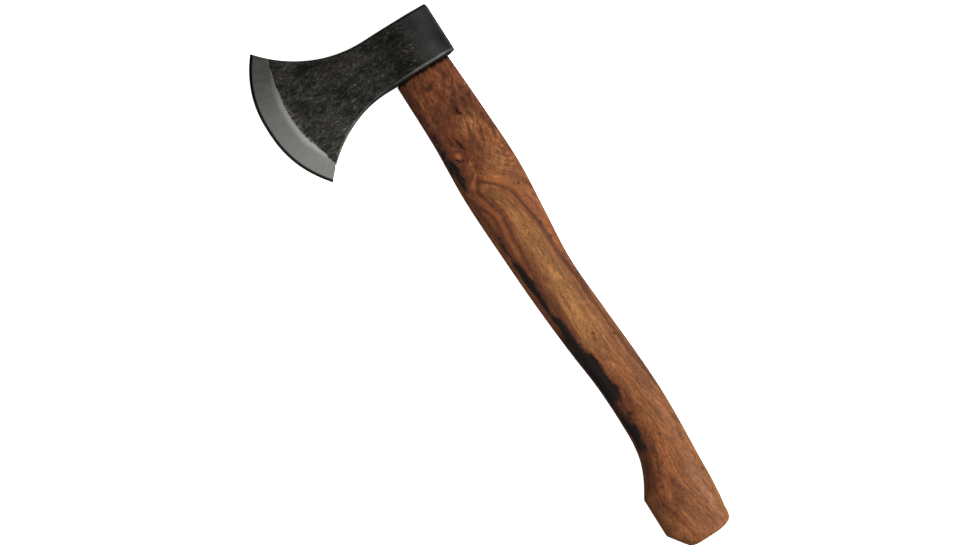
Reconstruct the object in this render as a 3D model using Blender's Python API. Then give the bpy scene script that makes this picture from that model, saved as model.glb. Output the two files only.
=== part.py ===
"""Hatchet: a forged head with a flared cutting edge, hung on a shaped hardwood haft.

The hatchet lies on its side. +X runs from the butt of the haft to the top of the head, +Y runs
from the poll to the cutting edge, and +Z is up. Z = 0 is the plane that the side of the eye and
the side of the butt swell touch. X = 0 and Y = 0 are the middle of the length and of the width.

The dimensions below are millimetres from three datums: x is 0 near the underside of the head and
grows towards its top, y is 0 at the poll and grows towards the cutting edge, and z is 0 in the
mid-plane. place() turns them into the finished frame, in metres.
"""

from math import copysign, cos, pi, sin, sqrt

import bmesh
import bpy

MM = 0.001
GAP = 0.3

# Head, seen from the side. TOE and HEEL are the two corners of the cutting edge.
TOP_AT_POLL = 35.6
TOP_AT_NECK = 36.6
UNDERSIDE_AT_POLL = 0.9
UNDERSIDE_AT_NECK = -0.3
NECK_Y = 48.5
POLL_CORNER = 1.6
TOE = (69.3, 117.0)
HEEL = (-32.3, 116.4)
EDGE_Y = 134.9
EDGE_FULLNESS = 2.3
BOW_START_Y = 60.0
BEVEL_ENDS_Y = 109.5
BEVEL_APEX_Y = 117.6

# Head, seen from above: half its thickness at distances from the poll.
HEAD_HALF = [
    (0.0, 10.4),
    (1.0, 11.5),
    (3.0, 12.4),
    (9.0, 13.9),
    (16.0, 15.0),
    (32.0, 15.0),
    (40.0, 14.0),
    (50.0, 11.2),
    (60.0, 8.3),
    (72.0, 5.9),
    (86.0, 4.6),
    (100.0, 3.6),
    (BEVEL_ENDS_Y, 2.8),
]
# Toward the toe and the heel the cheek thins by this share, so that the bevel keeps one angle.
CORNER_THINNING = 0.34
MICRO_BEVEL = 1.6
MICRO_BEVEL_HALF = 0.45
EDGE_HALF = 0.12
CHAMFER_AT_EYE = 1.2
CHAMFER_AT_BEVEL = 0.6
CHAMFER_AT_EDGE = 0.04
HEAD_COLUMNS = 17
POLL_ROWS = [0.0, 0.3, 0.8, 1.6, 3.0, 5.5, 9.0, 12.5]
EYE_ROWS = [16.0, 20.0, 24.0, 28.0, 32.0, 36.0, 40.0]
CHEEK_ROW_STEP = 5.0

# Eye: an oval hole through the head, a little wider at the top. Each size is (length, width) / 2.
EYE_Y = 24.4
EYE_AT_BOTTOM = (19.0, 10.2)
EYE_AT_TOP = (19.6, 10.9)
EYE_ROUNDNESS = 2.4
RING_FACETS = 48

# Haft, seen from the side: its back and its front, from the shoulder to the butt.
BUTT_X = -365.2
HAFT_BACK = [
    (-2.0, 4.6),
    (-43.0, 3.0),
    (-90.0, 2.4),
    (-122.0, 5.3),
    (-158.0, 8.5),
    (-200.0, 6.9),
    (-240.0, 4.7),
    (-262.0, 4.1),
    (-312.0, 6.6),
    (-352.0, 10.1),
    (-362.6, 12.4),
    (BUTT_X, 18.2),
]
TOE_FLAT_START = (-322.5, 53.3)
TOE_FLAT_END = (-350.8, 53.5)
BUTT_CORNER = (BUTT_X, 43.2)
HAFT_FRONT = [
    (-2.0, 44.3),
    (-43.0, 44.5),
    (-90.0, 46.9),
    (-133.0, 46.0),
    (-176.0, 44.3),
    (-213.0, 41.7),
    (-245.0, 38.7),
    (-272.0, 38.3),
    (-288.0, 39.0),
    (-300.0, 41.4),
    (-312.0, 46.7),
    TOE_FLAT_START,
]

# Haft, seen from above: half its thickness.
HAFT_HALF = [
    (-2.0, 11.8),
    (-60.0, 12.2),
    (-140.0, 12.4),
    (-230.0, 12.6),
    (-290.0, 13.4),
    (-325.0, 15.0),
    (-352.0, 15.0),
    (-363.0, 14.4),
    (BUTT_X, 13.6),
]
HAFT_ROUNDNESS = 3.2
HAFT_ROW_STEP = 8.0
BUTT_ROWS = [0.0, 0.8, 2.2, 4.5, 9.0]
SWELL_ROWS = [-343.0, -336.0, -329.0, -324.0, -321.0, -317.0, -312.0, -306.0, -300.0]

# Shoulder and tongue: the haft stops just under the head, and its tongue fills the eye.
HAFT_TOP_ROW = -4.0
SHOULDER_BELOW_HEAD = 0.6
SHOULDER_ROUNDING = 0.6
TONGUE_TOP = TOP_AT_POLL - 0.5
TONGUE_ROUNDING = 0.6

# Wedges in the top of the tongue: hardwood along the eye, steel across it.
WOOD_DEPTH = 27.0
WOOD_THICK = (4.6, 1.2)
WOOD_LONG = (36.8, 36.0)
STEEL_DEPTH = 18.0
STEEL_THICK = (2.4, 0.8)
STEEL_WIDE = (17.0, 16.0)
SLOT_ABOVE = 4.0

# Where the datums lie in the finished frame.
MIDDLE_X = (TOE[0] + BUTT_X) / 2
MIDDLE_Y = EDGE_Y / 2
MIDDLE_Z = 15.0


def clear_scene():
    for thing in list(bpy.data.objects):
        bpy.data.objects.remove(thing)


def place(x, y, z):
    """A point given from the datums, in the finished frame and in metres."""
    return ((x - MIDDLE_X) * MM, (y - MIDDLE_Y) * MM, (z + MIDDLE_Z) * MM)


def between(low, high, f):
    return low + (high - low) * f


def tight_slope(before, after, span_before, span_after):
    """The slope at a point of a curve that never swings past its points."""
    turns = before * after <= 0
    return 0.0 if turns else 2 * before * after / (before + after)


def easy_slope(before, after, span_before, span_after):
    """The slope at a point of a curve drawn by hand with a bending strip of wood."""
    mean = (before * span_after + after * span_before) / (span_before + span_after)
    limit = 3 * min(abs(before), abs(after))
    turns = before * after <= 0
    return mean if turns else min(max(mean, -limit), limit)


def through(points, at, slope_at=tight_slope):
    """A smooth curve through the points, read at one place."""
    points = sorted(points)
    spans = [b[0] - a[0] for a, b in zip(points, points[1:])]
    slopes = [(b[1] - a[1]) / (b[0] - a[0]) for a, b in zip(points, points[1:])]
    inner = [slope_at(*four) for four in zip(slopes, slopes[1:], spans, spans[1:])]
    tangents = [slopes[0]] + inner + [slopes[-1]]
    at = min(max(at, points[0][0]), points[-1][0])
    index = max(i for i in range(len(slopes)) if points[i][0] <= at)
    start, end = points[index], points[index + 1]
    width = end[0] - start[0]
    f = (at - start[0]) / width
    return (
        start[1] * (1 + 2 * f) * (1 - f) ** 2
        + end[1] * f * f * (3 - 2 * f)
        + tangents[index] * width * f * (1 - f) ** 2
        - tangents[index + 1] * width * f * f * (1 - f)
    )


def flare(y, start, end):
    """The x at y of the arc that leaves start running straight along y and reaches end."""
    span = end[1] - start[1]
    depth = end[0] - start[0]
    radius = (span * span + depth * depth) / (2 * abs(depth))
    along = min(max(y - start[1], 0.0), span)
    return start[0] + copysign(radius - sqrt(radius * radius - along * along), depth)


def top_of_head(y):
    """The upper outline: nearly level over the eye, then an arc up to the toe."""
    level = between(TOP_AT_POLL, TOP_AT_NECK, min(y / NECK_Y, 1.0))
    corner = max(POLL_CORNER - y, 0.0)
    rounding = POLL_CORNER - sqrt(POLL_CORNER**2 - corner**2)
    return max(level, flare(y, (TOP_AT_NECK, NECK_Y), TOE)) - rounding


def underside_of_head(y):
    """The lower outline: nearly level under the eye, then an arc down to the heel."""
    level = between(UNDERSIDE_AT_POLL, UNDERSIDE_AT_NECK, min(y / NECK_Y, 1.0))
    return min(level, flare(y, (UNDERSIDE_AT_NECK, NECK_Y), HEEL))


def head_row(bottom_y, top_y, bow, half, chamfer, thinning=0.0):
    """One closed ring of the head: up its near side, over the top and down its far side."""
    bottom, top = underside_of_head(bottom_y), top_of_head(top_y)
    inset = chamfer / (top - bottom)
    steps = [between(inset, 1 - inset, i / (HEAD_COLUMNS - 1)) for i in range(HEAD_COLUMNS)]
    side = []
    for f, fall in [(0.0, chamfer)] + [(f, 0.0) for f in steps] + [(1.0, chamfer)]:
        bulge = bow * (1 - abs(2 * f - 1) ** EDGE_FULLNESS)
        z = half * (1 - thinning * (2 * f - 1) ** 2) - fall
        side.append((between(bottom, top, f), between(bottom_y, top_y, f) + bulge, z))
    return side + [(x, y, -z) for x, y, z in reversed(side)]


def cheek_row(y):
    """A ring of the head between the poll and the bevel, bowed more the nearer the bevel."""
    toward_bevel = max(y - BOW_START_Y, 0.0) / (BEVEL_ENDS_Y - BOW_START_Y)
    bow = (BEVEL_APEX_Y - BEVEL_ENDS_Y) * toward_bevel
    chamfer = between(CHAMFER_AT_EYE, CHAMFER_AT_BEVEL, toward_bevel)
    thinning = CORNER_THINNING * toward_bevel**2 * (3 - 2 * toward_bevel)
    return head_row(y, y, bow, through(HEAD_HALF, y), chamfer, thinning)


def edge_row(back, half):
    """A ring of the bevel, a short way back from the cutting edge."""
    bow = EDGE_Y - (HEEL[1] + TOE[1]) / 2
    return head_row(HEEL[1] - back, TOE[1] - back, bow, half, CHAMFER_AT_EDGE)


def head_rings():
    """The rings of the head from the poll to the cutting edge."""
    stations = POLL_ROWS + EYE_ROWS
    while stations[-1] + CHEEK_ROW_STEP < BEVEL_ENDS_Y:
        stations.append(stations[-1] + CHEEK_ROW_STEP)
    rings = [cheek_row(y) for y in stations + [BEVEL_ENDS_Y]]
    return rings + [edge_row(MICRO_BEVEL, MICRO_BEVEL_HALF), edge_row(0.0, EDGE_HALF)]


def loft(name, rings):
    """A closed solid through rings that have the same count of points, with flat ends."""
    mesh = bmesh.new()
    rows = [[mesh.verts.new(place(*point)) for point in ring] for ring in rings]
    for row, after in zip(rows, rows[1:]):
        for i in range(len(row)):
            j = (i + 1) % len(row)
            mesh.faces.new((row[i], row[j], after[j], after[i]))
    mesh.faces.new(rows[0][::-1])
    mesh.faces.new(rows[-1])
    bmesh.ops.recalc_face_normals(mesh, faces=mesh.faces)
    data = bpy.data.meshes.new(name)
    mesh.to_mesh(data)
    mesh.free()
    thing = bpy.data.objects.new(name, data)
    bpy.context.collection.objects.link(thing)
    return thing


def oval(x, middle_y, half_length, half_width, roundness):
    """A ring across the haft at x: an ellipse squared off by its roundness, 2 being a true one."""
    ring = []
    for i in range(RING_FACETS):
        angle = 2 * pi * i / RING_FACETS
        along = copysign(abs(cos(angle)) ** (2 / roundness), cos(angle))
        across = copysign(abs(sin(angle)) ** (2 / roundness), sin(angle))
        ring.append((x, middle_y + half_length * along, half_width * across))
    return ring


def eye_ring(x, gap):
    """The outline of the eye at height x, drawn in by the gap."""
    f = x / TOP_AT_NECK
    half_length = between(EYE_AT_BOTTOM[0], EYE_AT_TOP[0], f) - gap
    half_width = between(EYE_AT_BOTTOM[1], EYE_AT_TOP[1], f) - gap
    return oval(x, EYE_Y, half_length, half_width, EYE_ROUNDNESS)


def front_of_haft(x):
    """The front outline: a curve down to the butt swell, then its flat toe and its chamfer."""
    if x >= TOE_FLAT_START[0]:
        return through(HAFT_FRONT, x, easy_slope)
    low, high = (TOE_FLAT_END, TOE_FLAT_START) if x >= TOE_FLAT_END[0] else (BUTT_CORNER, TOE_FLAT_END)
    return between(low[1], high[1], (x - low[0]) / (high[0] - low[0]))


def haft_ring(x, inset=0.0):
    """A ring of the haft at x, drawn in by the inset."""
    back, front = through(HAFT_BACK, x, easy_slope), front_of_haft(x)
    half_length, half_width = (front - back) / 2 - inset, through(HAFT_HALF, x) - inset
    return oval(x, (back + front) / 2, half_length, half_width, HAFT_ROUNDNESS)


def under_head(ring, below):
    """The ring moved up to lie a set distance below the slope of the head's underside."""
    return [(underside_of_head(y) - below, y, z) for _, y, z in ring]


def haft_rings():
    """The rings of the haft from its butt to the top of its tongue."""
    stations = [BUTT_X + row for row in BUTT_ROWS] + [TOE_FLAT_END[0]] + SWELL_ROWS
    while stations[-1] + HAFT_ROW_STEP < HAFT_TOP_ROW:
        stations.append(stations[-1] + HAFT_ROW_STEP)
    rings = [haft_ring(x) for x in stations + [HAFT_TOP_ROW]]
    rings.append(under_head(haft_ring(0.0), SHOULDER_BELOW_HEAD + SHOULDER_ROUNDING))
    rings.append(under_head(haft_ring(0.0, SHOULDER_ROUNDING), SHOULDER_BELOW_HEAD))
    rings.append(under_head(eye_ring(0.0, GAP), SHOULDER_BELOW_HEAD - 0.05))
    rings.append(eye_ring(TONGUE_TOP - TONGUE_ROUNDING, GAP))
    rings.append(eye_ring(TONGUE_TOP, GAP + TONGUE_ROUNDING))
    return rings


def tapered_block(name, depth, sizes_y, sizes_z, extra=0.0, above=0.0):
    """A block down into the tongue; each pair of sizes is (at the top, at the tip).

    extra widens it on every side, and above carries its taper on past the top of the tongue.
    """
    rings = []
    for f, x in ((-above / depth, TONGUE_TOP + above), (1.0, TONGUE_TOP - depth - extra)):
        y = between(sizes_y[0], sizes_y[1], f) / 2 + extra
        z = between(sizes_z[0], sizes_z[1], f) / 2 + extra
        rings.append([(x, EYE_Y - y, -z), (x, EYE_Y + y, -z), (x, EYE_Y + y, z), (x, EYE_Y - y, z)])
    return loft(name, rings)


def cut(thing, cutter):
    """Takes the cutter's shape out of the thing."""
    modifier = thing.modifiers.new(cutter.name, "BOOLEAN")
    modifier.operation = "DIFFERENCE"
    modifier.solver = "EXACT"
    modifier.object = cutter
    cutter.hide_render = True
    cutter.display_type = "WIRE"


def make_head():
    head = loft("axe_head", head_rings())
    cut(head, loft("eye_cutter", [eye_ring(-8.0, 0.0), eye_ring(TOP_AT_NECK + 8.0, 0.0)]))
    return head


def make_haft(steel_slot):
    haft = loft("haft", haft_rings())
    right_across = (2 * TOP_AT_NECK, 2 * TOP_AT_NECK)
    cut(haft, tapered_block("kerf_cutter", WOOD_DEPTH, right_across, WOOD_THICK, GAP, SLOT_ABOVE))
    cut(haft, steel_slot)
    return haft


def make_wood_wedge(steel_slot):
    wedge = tapered_block("wood_wedge", WOOD_DEPTH, WOOD_LONG, WOOD_THICK)
    cut(wedge, steel_slot)
    return wedge


def finish(thing, name, colour, roughness, metallic):
    """Gives the thing its own material, and smooths its shading between sharp edges."""
    material = bpy.data.materials.new(name)
    material.use_nodes = True
    shader = material.node_tree.nodes["Principled BSDF"]
    shader.inputs["Base Color"].default_value = (*colour, 1.0)
    shader.inputs["Roughness"].default_value = roughness
    shader.inputs["Metallic"].default_value = metallic
    thing.data.materials.append(material)
    thing.data.shade_smooth()
    thing.data.set_sharp_from_angle(angle=pi / 6)


def main():
    clear_scene()
    steel_slot = tapered_block("slot_cutter", STEEL_DEPTH, STEEL_THICK, STEEL_WIDE, GAP, SLOT_ABOVE)
    steel_wedge = tapered_block("steel_wedge", STEEL_DEPTH, STEEL_THICK, STEEL_WIDE)
    finish(make_head(), "forged_steel", (0.035, 0.034, 0.030), 0.45, 0.9)
    finish(make_haft(steel_slot), "varnished_hardwood", (0.26, 0.11, 0.045), 0.35, 0.0)
    finish(make_wood_wedge(steel_slot), "pale_hardwood", (0.45, 0.28, 0.14), 0.6, 0.0)
    finish(steel_wedge, "wedge_steel", (0.30, 0.30, 0.30), 0.4, 1.0)


main()
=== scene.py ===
"""Looks of the hatchet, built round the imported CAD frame: forged head, figured haft, wedges."""

from functools import reduce
from math import cos, pi, radians, sin

import bmesh
import bpy
import numpy as np
from mathutils import Matrix, Vector, noise


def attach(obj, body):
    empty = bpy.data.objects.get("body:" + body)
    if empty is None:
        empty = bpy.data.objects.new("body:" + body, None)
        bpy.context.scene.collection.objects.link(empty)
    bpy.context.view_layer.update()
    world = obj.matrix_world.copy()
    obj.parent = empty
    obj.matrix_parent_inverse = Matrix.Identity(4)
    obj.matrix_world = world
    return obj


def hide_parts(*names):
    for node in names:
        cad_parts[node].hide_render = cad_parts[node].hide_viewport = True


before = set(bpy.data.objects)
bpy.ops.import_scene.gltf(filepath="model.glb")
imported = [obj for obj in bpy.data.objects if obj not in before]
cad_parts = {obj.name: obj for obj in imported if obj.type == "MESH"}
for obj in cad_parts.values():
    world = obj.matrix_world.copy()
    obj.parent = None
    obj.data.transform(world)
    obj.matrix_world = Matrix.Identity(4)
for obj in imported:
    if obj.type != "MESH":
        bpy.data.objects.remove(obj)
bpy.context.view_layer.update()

MM = 0.001

# ---------------------------------------------------------------- sizes of the part
# Lengths are in mm, in the CAD's datums: x from the underside of the head towards its top, y from
# the poll towards the cutting edge, z from the mid-plane towards the near side.

TOP_AT_POLL = 35.6
TOP_AT_NECK = 36.6
UNDERSIDE_AT_POLL = 0.9
UNDERSIDE_AT_NECK = -0.3
NECK_Y = 48.5
POLL_CORNER = 1.6
TOE = (69.3, 117.0)
HEEL = (-32.3, 116.4)
EDGE_Y = 134.9
EDGE_FULLNESS = 2.3
BOW_START_Y = 60.0
BEVEL_ENDS_Y = 109.5
BEVEL_APEX_Y = 117.6
BEVEL_BOW = BEVEL_APEX_Y - BEVEL_ENDS_Y
EDGE_BOW = EDGE_Y - (HEEL[1] + TOE[1]) / 2
HEAD_HALF = [
    (0.0, 10.4), (1.0, 11.5), (3.0, 12.4), (9.0, 13.9), (16.0, 15.0), (32.0, 15.0), (40.0, 14.0),
    (50.0, 11.2), (60.0, 8.3), (72.0, 5.9), (86.0, 4.6), (100.0, 3.6), (BEVEL_ENDS_Y, 2.8),
]
CORNER_THINNING = 0.34
ROUNDING_AT_POLL = 2.4
ROUNDING_AT_BEVEL = 0.7
ROUNDING_LOST_AT_EDGE = 0.8
ROUNDING_LIMIT = 0.8
MICRO_BEVEL = 1.6
MICRO_BEVEL_HALF = 0.45
EDGE_HALF = 0.12
BEVEL_SLOPE = 0.129
BEVEL_REACH = 24.0
BLANK_AT_BEVEL = 2.6
BLANK_THINNING = 0.9

EYE_Y = 24.4
EYE_AT_BOTTOM = (19.0, 10.2)
EYE_AT_TOP = (19.6, 10.9)
EYE_ROUNDNESS = 2.4
# The cutter for the eye, ring by ring: at which x, and how much wider than the eye.
EYE_CUTTER = [
    (-8.0, 0.8), (0.4, 0.0), (TOP_AT_NECK - 1.2, 0.0), (TOP_AT_NECK + 8.0, 5.5),
]

BUTT_X = -365.2
HAFT_BACK = [
    (-2.0, 4.6), (-43.0, 3.0), (-90.0, 2.4), (-122.0, 5.3), (-158.0, 8.5), (-200.0, 6.9),
    (-240.0, 4.7), (-262.0, 4.1), (-312.0, 6.6), (-352.0, 10.1), (-362.6, 12.4), (BUTT_X, 18.2),
]
TOE_FLAT_START = (-322.5, 53.3)
TOE_FLAT_END = (-350.8, 53.5)
BUTT_CORNER = (BUTT_X, 43.2)
HAFT_FRONT = [
    (-2.0, 44.3), (-43.0, 44.5), (-90.0, 46.9), (-133.0, 46.0), (-176.0, 44.3), (-213.0, 41.7),
    (-245.0, 38.7), (-272.0, 38.3), (-288.0, 39.0), (-300.0, 41.4), (-312.0, 46.7), TOE_FLAT_START,
]
HAFT_HALF = [
    (-2.0, 11.8), (-60.0, 12.2), (-140.0, 12.4), (-230.0, 12.6), (-290.0, 13.4), (-325.0, 15.0),
    (-352.0, 15.0), (-363.0, 14.4), (BUTT_X, 13.6),
]
HAFT_ROUNDNESS = 3.2
SHOULDER_BELOW_HEAD = 0.6
# The haft's rounded ends, ring by ring: how far drawn in, and how far along.
SHOULDER_STEPS = [(0.0, 1.0), (0.15, 0.45), (0.6, 0.0)]
BUTT_STEPS = [(4.0, 0.0), (2.4, 0.0), (1.1, 0.02), (0.62, 0.15), (0.28, 0.4), (0.07, 0.8)]
TONGUE_TOP = TOP_AT_POLL - 0.5
TONGUE_STEPS = [(0.15, 0.2), (0.5, 0.0)]
GAP = 0.3

WOOD_DEPTH = 27.0
WOOD_THICK = (4.6, 1.2)
WOOD_LONG = (36.8, 36.0)
STEEL_DEPTH = 18.0
STEEL_THICK = (2.4, 0.8)
STEEL_WIDE = (17.0, 16.0)
CUTTER_ABOVE = 4.0

MIDDLE_X = (TOE[0] + BUTT_X) / 2
MIDDLE_Y = EDGE_Y / 2
MIDDLE_Z = 15.0
MIDDLE = np.array([MIDDLE_X, MIDDLE_Y, -MIDDLE_Z])

# How finely the meshes are divided.
POLL_ROWS = [0.0, 0.15, 0.4, 0.8, 1.3, 2.0, 3.0]
BODY_START_Y = 3.8
BODY_STEP = 0.85
FINE_START_Y = BEVEL_ENDS_Y - 12
FINE_STEP = 0.45
BEVEL_ROWS = 44
SIDE_POINTS = 140
ROUNDING_POINTS = 6
END_POINTS = 9
EDGE_POINTS = 801
EYE_FACETS = 96
HAFT_FACETS = 112
BUTT_STATIONS = [1.2, 1.6, 2.2, 3.0, 3.9, 4.8, 6.0, 7.2, 8.4, 9.6, 10.8, 12.0, 13.2]
HAFT_STEP = 1.1
GRIP_TOP_X = -3.5
TONGUE_BOTTOM_X = 4.0
TONGUE_ROWS = 6
OVAL_SAMPLES = 4001
POINTS_AT_ONCE = 4096

# Hammer dents, lumps and grit: size, octaves, seed, depth at the poll, depth on the cheeks.
FORGED_SKIN = [(11.0, 2, 3.1, 0.06, 0.18), (3.2, 3, 8.4, 0.02, 0.07), (1.1, 2, 1.7, 0.01, 0.05)]


# ---------------------------------------------------------------- curves

def through(points, at, easy=False):
    """A smooth curve through the points; it never swings past them unless it is an easy one."""
    points = np.array(sorted(points))
    px, py = points[:, 0], points[:, 1]
    slopes = np.diff(py) / np.diff(px)
    before, after = slopes[:-1], slopes[1:]
    product = before * after
    total = np.where(product > 0, before + after, 1.0)
    inner = np.where(product > 0, 2 * product / total, 0.0)
    if easy:
        spans = np.diff(px)
        mean = (before * spans[1:] + after * spans[:-1]) / (spans[1:] + spans[:-1])
        limit = 3 * np.minimum(np.abs(before), np.abs(after))
        inner = np.where(product > 0, np.clip(mean, -limit, limit), mean)
    tangents = np.concatenate([slopes[:1], inner, slopes[-1:]])
    at = np.clip(np.asarray(at, float), px[0], px[-1])
    i = np.clip(np.searchsorted(px, at, side="right") - 1, 0, len(slopes) - 1)
    width = px[i + 1] - px[i]
    f = (at - px[i]) / width
    return (
        py[i] * (1 + 2 * f) * (1 - f) ** 2
        + py[i + 1] * f * f * (3 - 2 * f)
        + tangents[i] * width * f * (1 - f) ** 2
        - tangents[i + 1] * width * f * f * (1 - f)
    )


def smooth(low, high, at):
    """0 below low, 1 above high, and eased between."""
    f = np.clip((np.asarray(at, float) - low) / (high - low), 0.0, 1.0)
    return f * f * (3 - 2 * f)


def lerp(low, high, f):
    """The value a share f of the way from low to high."""
    return low + (high - low) * f


def flare(y, start, end):
    """An arc of the head's outline: it starts parallel to the y axis and runs through the end."""
    span = end[1] - start[1]
    depth = end[0] - start[0]
    radius = (span * span + depth * depth) / (2 * abs(depth))
    along = np.clip(y - start[1], 0.0, span)
    return start[0] + np.sign(depth) * (radius - np.sqrt(radius * radius - along * along))


def top_of_head(y):
    """The x of the head's top side at each y, flared towards the toe."""
    level = lerp(TOP_AT_POLL, TOP_AT_NECK, np.minimum(y / NECK_Y, 1.0))
    corner = np.clip(POLL_CORNER - y, 0.0, POLL_CORNER)
    rounding = POLL_CORNER - np.sqrt(POLL_CORNER**2 - corner**2)
    return np.maximum(level, flare(y, (TOP_AT_NECK, NECK_Y), TOE)) - rounding


def underside_of_head(y):
    """The x of the head's underside at each y, flared towards the heel."""
    level = lerp(UNDERSIDE_AT_POLL, UNDERSIDE_AT_NECK, np.minimum(y / NECK_Y, 1.0))
    return np.minimum(level, flare(y, (UNDERSIDE_AT_NECK, NECK_Y), HEEL))


def fractal(points, size, octaves, seed):
    """Smooth noise of about -1 to 1 at points in millimetres, with lumps of the given size."""
    shift = Vector((seed, seed * 0.7, seed * 1.3))
    scaled = np.asarray(points, float) / size
    return np.array([
        noise.fractal(Vector(p) + shift, 1.0, 2.0, octaves, noise_basis="PERLIN_ORIGINAL")
        for p in scaled
    ])


# ---------------------------------------------------------------- meshes

def to_world(points):
    """Points in the datums, in millimetres, as places in the frame's world."""
    return (np.asarray(points, float) - MIDDLE) * MM


def from_world(mesh):
    """The mesh's points in the datums, in millimetres."""
    co = np.empty(len(mesh.vertices) * 3, np.float32)
    mesh.vertices.foreach_get("co", co)
    return co.reshape(-1, 3).astype(float) / MM + MIDDLE


def grid_object(name, rings):
    """A closed mesh through rings of points, with flat ends."""
    rings = np.asarray(rings, float)
    rows, columns = rings.shape[:2]
    index = np.arange(rows * columns).reshape(rows, columns)
    a, b = index[:-1], index[1:]
    quads = np.stack([a, np.roll(a, -1, 1), np.roll(b, -1, 1), b], -1).reshape(-1, 4)
    faces = quads.tolist() + [index[0][::-1].tolist(), index[-1].tolist()]
    mesh = bpy.data.meshes.new(name)
    mesh.from_pydata(to_world(rings.reshape(-1, 3)).tolist(), [], faces)
    work = bmesh.new()
    work.from_mesh(mesh)
    bmesh.ops.recalc_face_normals(work, faces=work.faces)
    work.to_mesh(mesh)
    work.free()
    thing = bpy.data.objects.new(name, mesh)
    bpy.context.scene.collection.objects.link(thing)
    return thing


def cut(thing, cutters):
    """Takes the cutters' shapes out of the thing for good, and removes the cutters."""
    for cutter in cutters:
        modifier = thing.modifiers.new(cutter.name, "BOOLEAN")
        modifier.operation = "DIFFERENCE"
        modifier.solver = "EXACT"
        modifier.object = cutter
    graph = bpy.context.evaluated_depsgraph_get()
    result = bpy.data.meshes.new_from_object(thing.evaluated_get(graph), depsgraph=graph)
    thing.modifiers.clear()
    thing.data = result
    for cutter in cutters:
        bpy.data.objects.remove(cutter)


def write_points(mesh, points):
    mesh.vertices.foreach_set("co", to_world(points).astype(np.float32).ravel())
    mesh.update()


def write_attribute(mesh, name, values):
    """A number or a vector at each point, for the materials to read."""
    kind, field = ("FLOAT", "value") if values.ndim == 1 else ("FLOAT_VECTOR", "vector")
    layer = mesh.attributes.new(name, kind, "POINT")
    layer.data.foreach_set(field, values.astype(np.float32).ravel())


def superellipse(count, roundness):
    """Points round a unit squared-off ellipse, evenly spaced along its outline."""
    angle = np.linspace(0, 2 * pi, OVAL_SAMPLES)
    round_ring = np.stack([np.cos(angle), np.sin(angle)], -1)
    ring = np.sign(round_ring) * np.abs(round_ring) ** (2 / roundness)
    length = np.concatenate([[0], np.cumsum(np.hypot(*np.diff(ring, axis=0).T))])
    at = np.linspace(0, length[-1], count + 1)[:-1]
    return np.stack([np.interp(at, length, ring[:, 0]), np.interp(at, length, ring[:, 1])], -1)


def oval(x, middle_y, half_length, half_width, shape):
    """A ring of the unit shape's form at one x, long in y and wide in z."""
    return np.stack([
        np.full(len(shape), x),
        middle_y + half_length * shape[:, 0],
        half_width * shape[:, 1],
    ], -1)


def eye_ring(x, gap, shape):
    """The eye's outline at one x, drawn in by the gap."""
    f = x / TOP_AT_NECK
    half_length = lerp(EYE_AT_BOTTOM[0], EYE_AT_TOP[0], f) - gap
    half_width = lerp(EYE_AT_BOTTOM[1], EYE_AT_TOP[1], f) - gap
    return oval(x, EYE_Y, half_length, half_width, shape)


# ---------------------------------------------------------------- head

def bow_of(y_row):
    """How far the middle of a row of the blank bows out towards the edge."""
    toward_bevel = np.clip((y_row - BOW_START_Y) / (BEVEL_ENDS_Y - BOW_START_Y), 0.0, 1.0)
    return BEVEL_BOW * toward_bevel


def bulge(f):
    """The bow's form across a row, 0 at both corners and 1 in the middle."""
    return 1 - np.abs(2 * f - 1) ** EDGE_FULLNESS


def edge_curve():
    """Points along the cutting edge from heel to toe, in plan."""
    f = np.linspace(0, 1, EDGE_POINTS)
    x = lerp(HEEL[0], TOE[0], f)
    y = lerp(HEEL[1], TOE[1], f) + EDGE_BOW * bulge(f)
    return np.stack([x, y], -1)


def nearest_edge(xy):
    """How far each plan point lies from the cutting edge, and where along the edge, in mm."""
    curve = edge_curve()
    length = np.concatenate([[0], np.cumsum(np.hypot(*np.diff(curve, axis=0).T))])
    away, along = np.empty(len(xy)), np.empty(len(xy))
    for start in range(0, len(xy), POINTS_AT_ONCE):
        part = xy[start:start + POINTS_AT_ONCE]
        gaps = ((part[:, None, :] - curve[None, :, :]) ** 2).sum(-1)
        nearest = gaps.argmin(1)
        away[start:start + POINTS_AT_ONCE] = np.sqrt(gaps[np.arange(len(part)), nearest])
        along[start:start + POINTS_AT_ONCE] = length[nearest]
    return away, along


def bevel_half(distance):
    """Half the thickness that the grinding leaves at a distance from the edge."""
    micro = lerp(EDGE_HALF, MICRO_BEVEL_HALF, np.clip(distance / MICRO_BEVEL, 0, 1))
    main = BEVEL_SLOPE * np.maximum(distance - MICRO_BEVEL, 0.0)
    return micro + main + np.maximum(distance - BEVEL_REACH, 0.0)


def head_rows():
    """Rows of the blank: y at the underside, y at the top, the bow, and how far down the bevel."""
    body = np.arange(BODY_START_Y, FINE_START_Y, BODY_STEP)
    near = np.arange(FINE_START_Y, BEVEL_ENDS_Y - 0.2, FINE_STEP)
    rows = [(y, y, float(bow_of(y)), 0.0) for y in np.concatenate([POLL_ROWS, body, near])]
    for down in np.linspace(0, 1, BEVEL_ROWS):
        bottom_y, top_y = lerp(BEVEL_ENDS_Y, HEEL[1], down), lerp(BEVEL_ENDS_Y, TOE[1], down)
        rows.append((bottom_y, top_y, lerp(BEVEL_BOW, EDGE_BOW, down), down))
    return rows


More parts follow.
